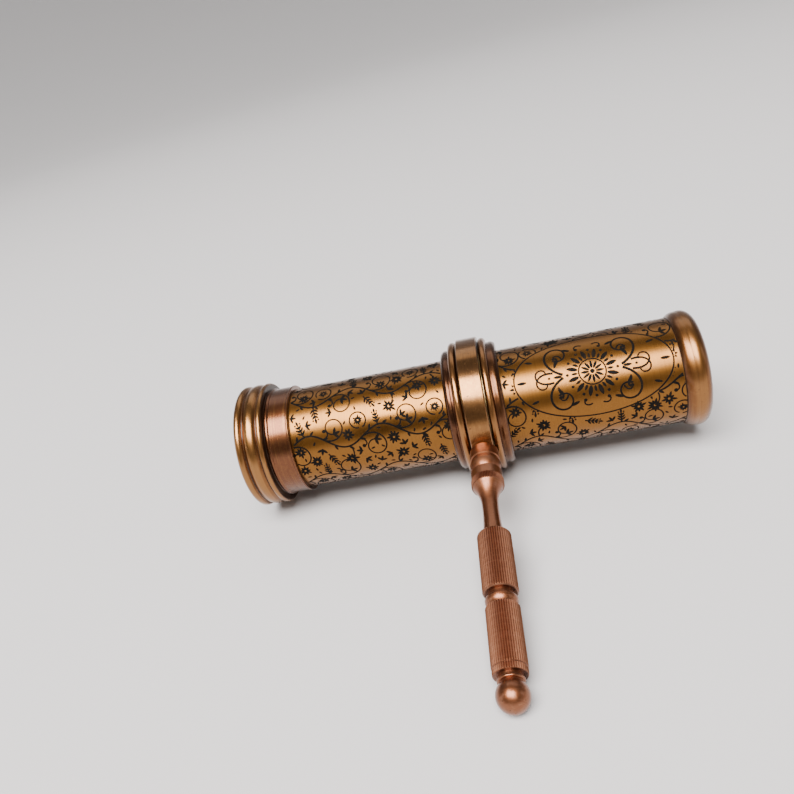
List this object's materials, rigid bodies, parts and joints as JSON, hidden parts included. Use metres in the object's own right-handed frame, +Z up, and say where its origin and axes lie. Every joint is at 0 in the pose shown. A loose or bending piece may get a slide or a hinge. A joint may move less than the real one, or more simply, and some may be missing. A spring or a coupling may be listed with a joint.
{
  "type": "kaleidoscope",
  "caption": "Brass kaleidoscope with an engraved barrel, a ribbed turning object cell, a flared eye ring and a turned side handle on a swivel ring.",
  "frame": {"origin": "on the table, under the middle of the whole object's box, as it lies on its ring and the ball of its handle", "axes": "+X along the barrel towards the eye end, -Y towards the ball of the handle, +Z up"},
  "size_m": [0.1498, 0.1272, 0.0458],
  "materials": {
    "band_brass": "bright antique brass with worn mottling",
    "tube_brass": "antique brass, etched and blackened ornament",
    "shoulder_brass": "antique brass, coppery",
    "rim_brass": "antique brass, polished on the beads",
    "handle_brass": "copper-brown antique brass, satin",
    "plain_brass": "turned",
    "steel": "turned",
    "mirror": "front silvered",
    "card": "matte black",
    "blackened": "blackened, matte",
    "rubber": "matte",
    "clear_glass": "polished",
    "frosted_glass": "ground on one side",
    "red_glass": "polished",
    "amber_glass": "polished",
    "green_glass": "polished",
    "blue_glass": "polished",
    "violet_glass": "polished"
  },
  "bodies": {
    "ring": {"handle_ring": "band_brass", "handle_boss": "handle_brass"},
    "washer": {"handle_washer": "handle_brass"},
    "handle": {"handle_neck": "handle_brass", "knurled_collar": "handle_brass", "upper_grip": "handle_brass", "waist_bead": "handle_brass", "lower_grip": "handle_brass", "grip_end_ring": "handle_brass", "ball_finial": "handle_brass", "grip_tie_rod": "steel"},
    "barrel": {"front_tube": "tube_brass", "eye_tube": "tube_brass", "centre_sleeve": "plain_brass", "front_shoulder": "shoulder_brass", "eye_shoulder": "shoulder_brass", "retaining_flange": "plain_brass", "card_liner": "card", "mirror_lower": "mirror", "mirror_front": "mirror", "mirror_back": "mirror", "packing_lower": "card", "packing_front": "card", "packing_back": "card", "front_mask": "card", "eye_mask": "card", "eye_ring": "rim_brass", "eye_plate": "blackened", "eye_lens": "clear_glass", "lens_gasket": "rubber", "lens_cell": "plain_brass", "lens_retainer": "plain_brass"},
    "cell": {"object_cap": "rim_brass", "cell_inner_glass": "clear_glass", "cell_spacer": "plain_brass", "cell_frosted_glass": "frosted_glass", "window_ring": "rim_brass", "chips_red": "red_glass", "chips_amber": "amber_glass", "chips_green": "green_glass", "chips_blue": "blue_glass", "chips_violet": "violet_glass"}
  },
  "joints": [
    {"name": "barrel_turn", "type": "hinge", "parent": "ring", "child": "barrel", "pos_m": [0.0041, 0.04074, 0.0229], "axis": [1, 0, 0], "continuous": true},
    {"name": "cell_turn", "type": "hinge", "parent": "barrel", "child": "cell", "pos_m": [0.0041, 0.04074, 0.0229], "axis": [1, 0, 0], "continuous": true},
    {"name": "handle_travel", "type": "slide", "parent": "ring", "child": "washer", "axis": [0, -0.983, -0.1835], "range_m": [0, 0.0049]},
    {"name": "handle_unscrew", "type": "hinge", "parent": "washer", "child": "handle", "pos_m": [0.0041, 0.04074, 0.0229], "axis": [0, -0.983, -0.1835], "range_deg": [0, 2160]}
  ],
  "couplings": [
    {"joint": "handle_travel", "follows": "handle_unscrew", "m_per_rad": 0.00012732}
  ]
}
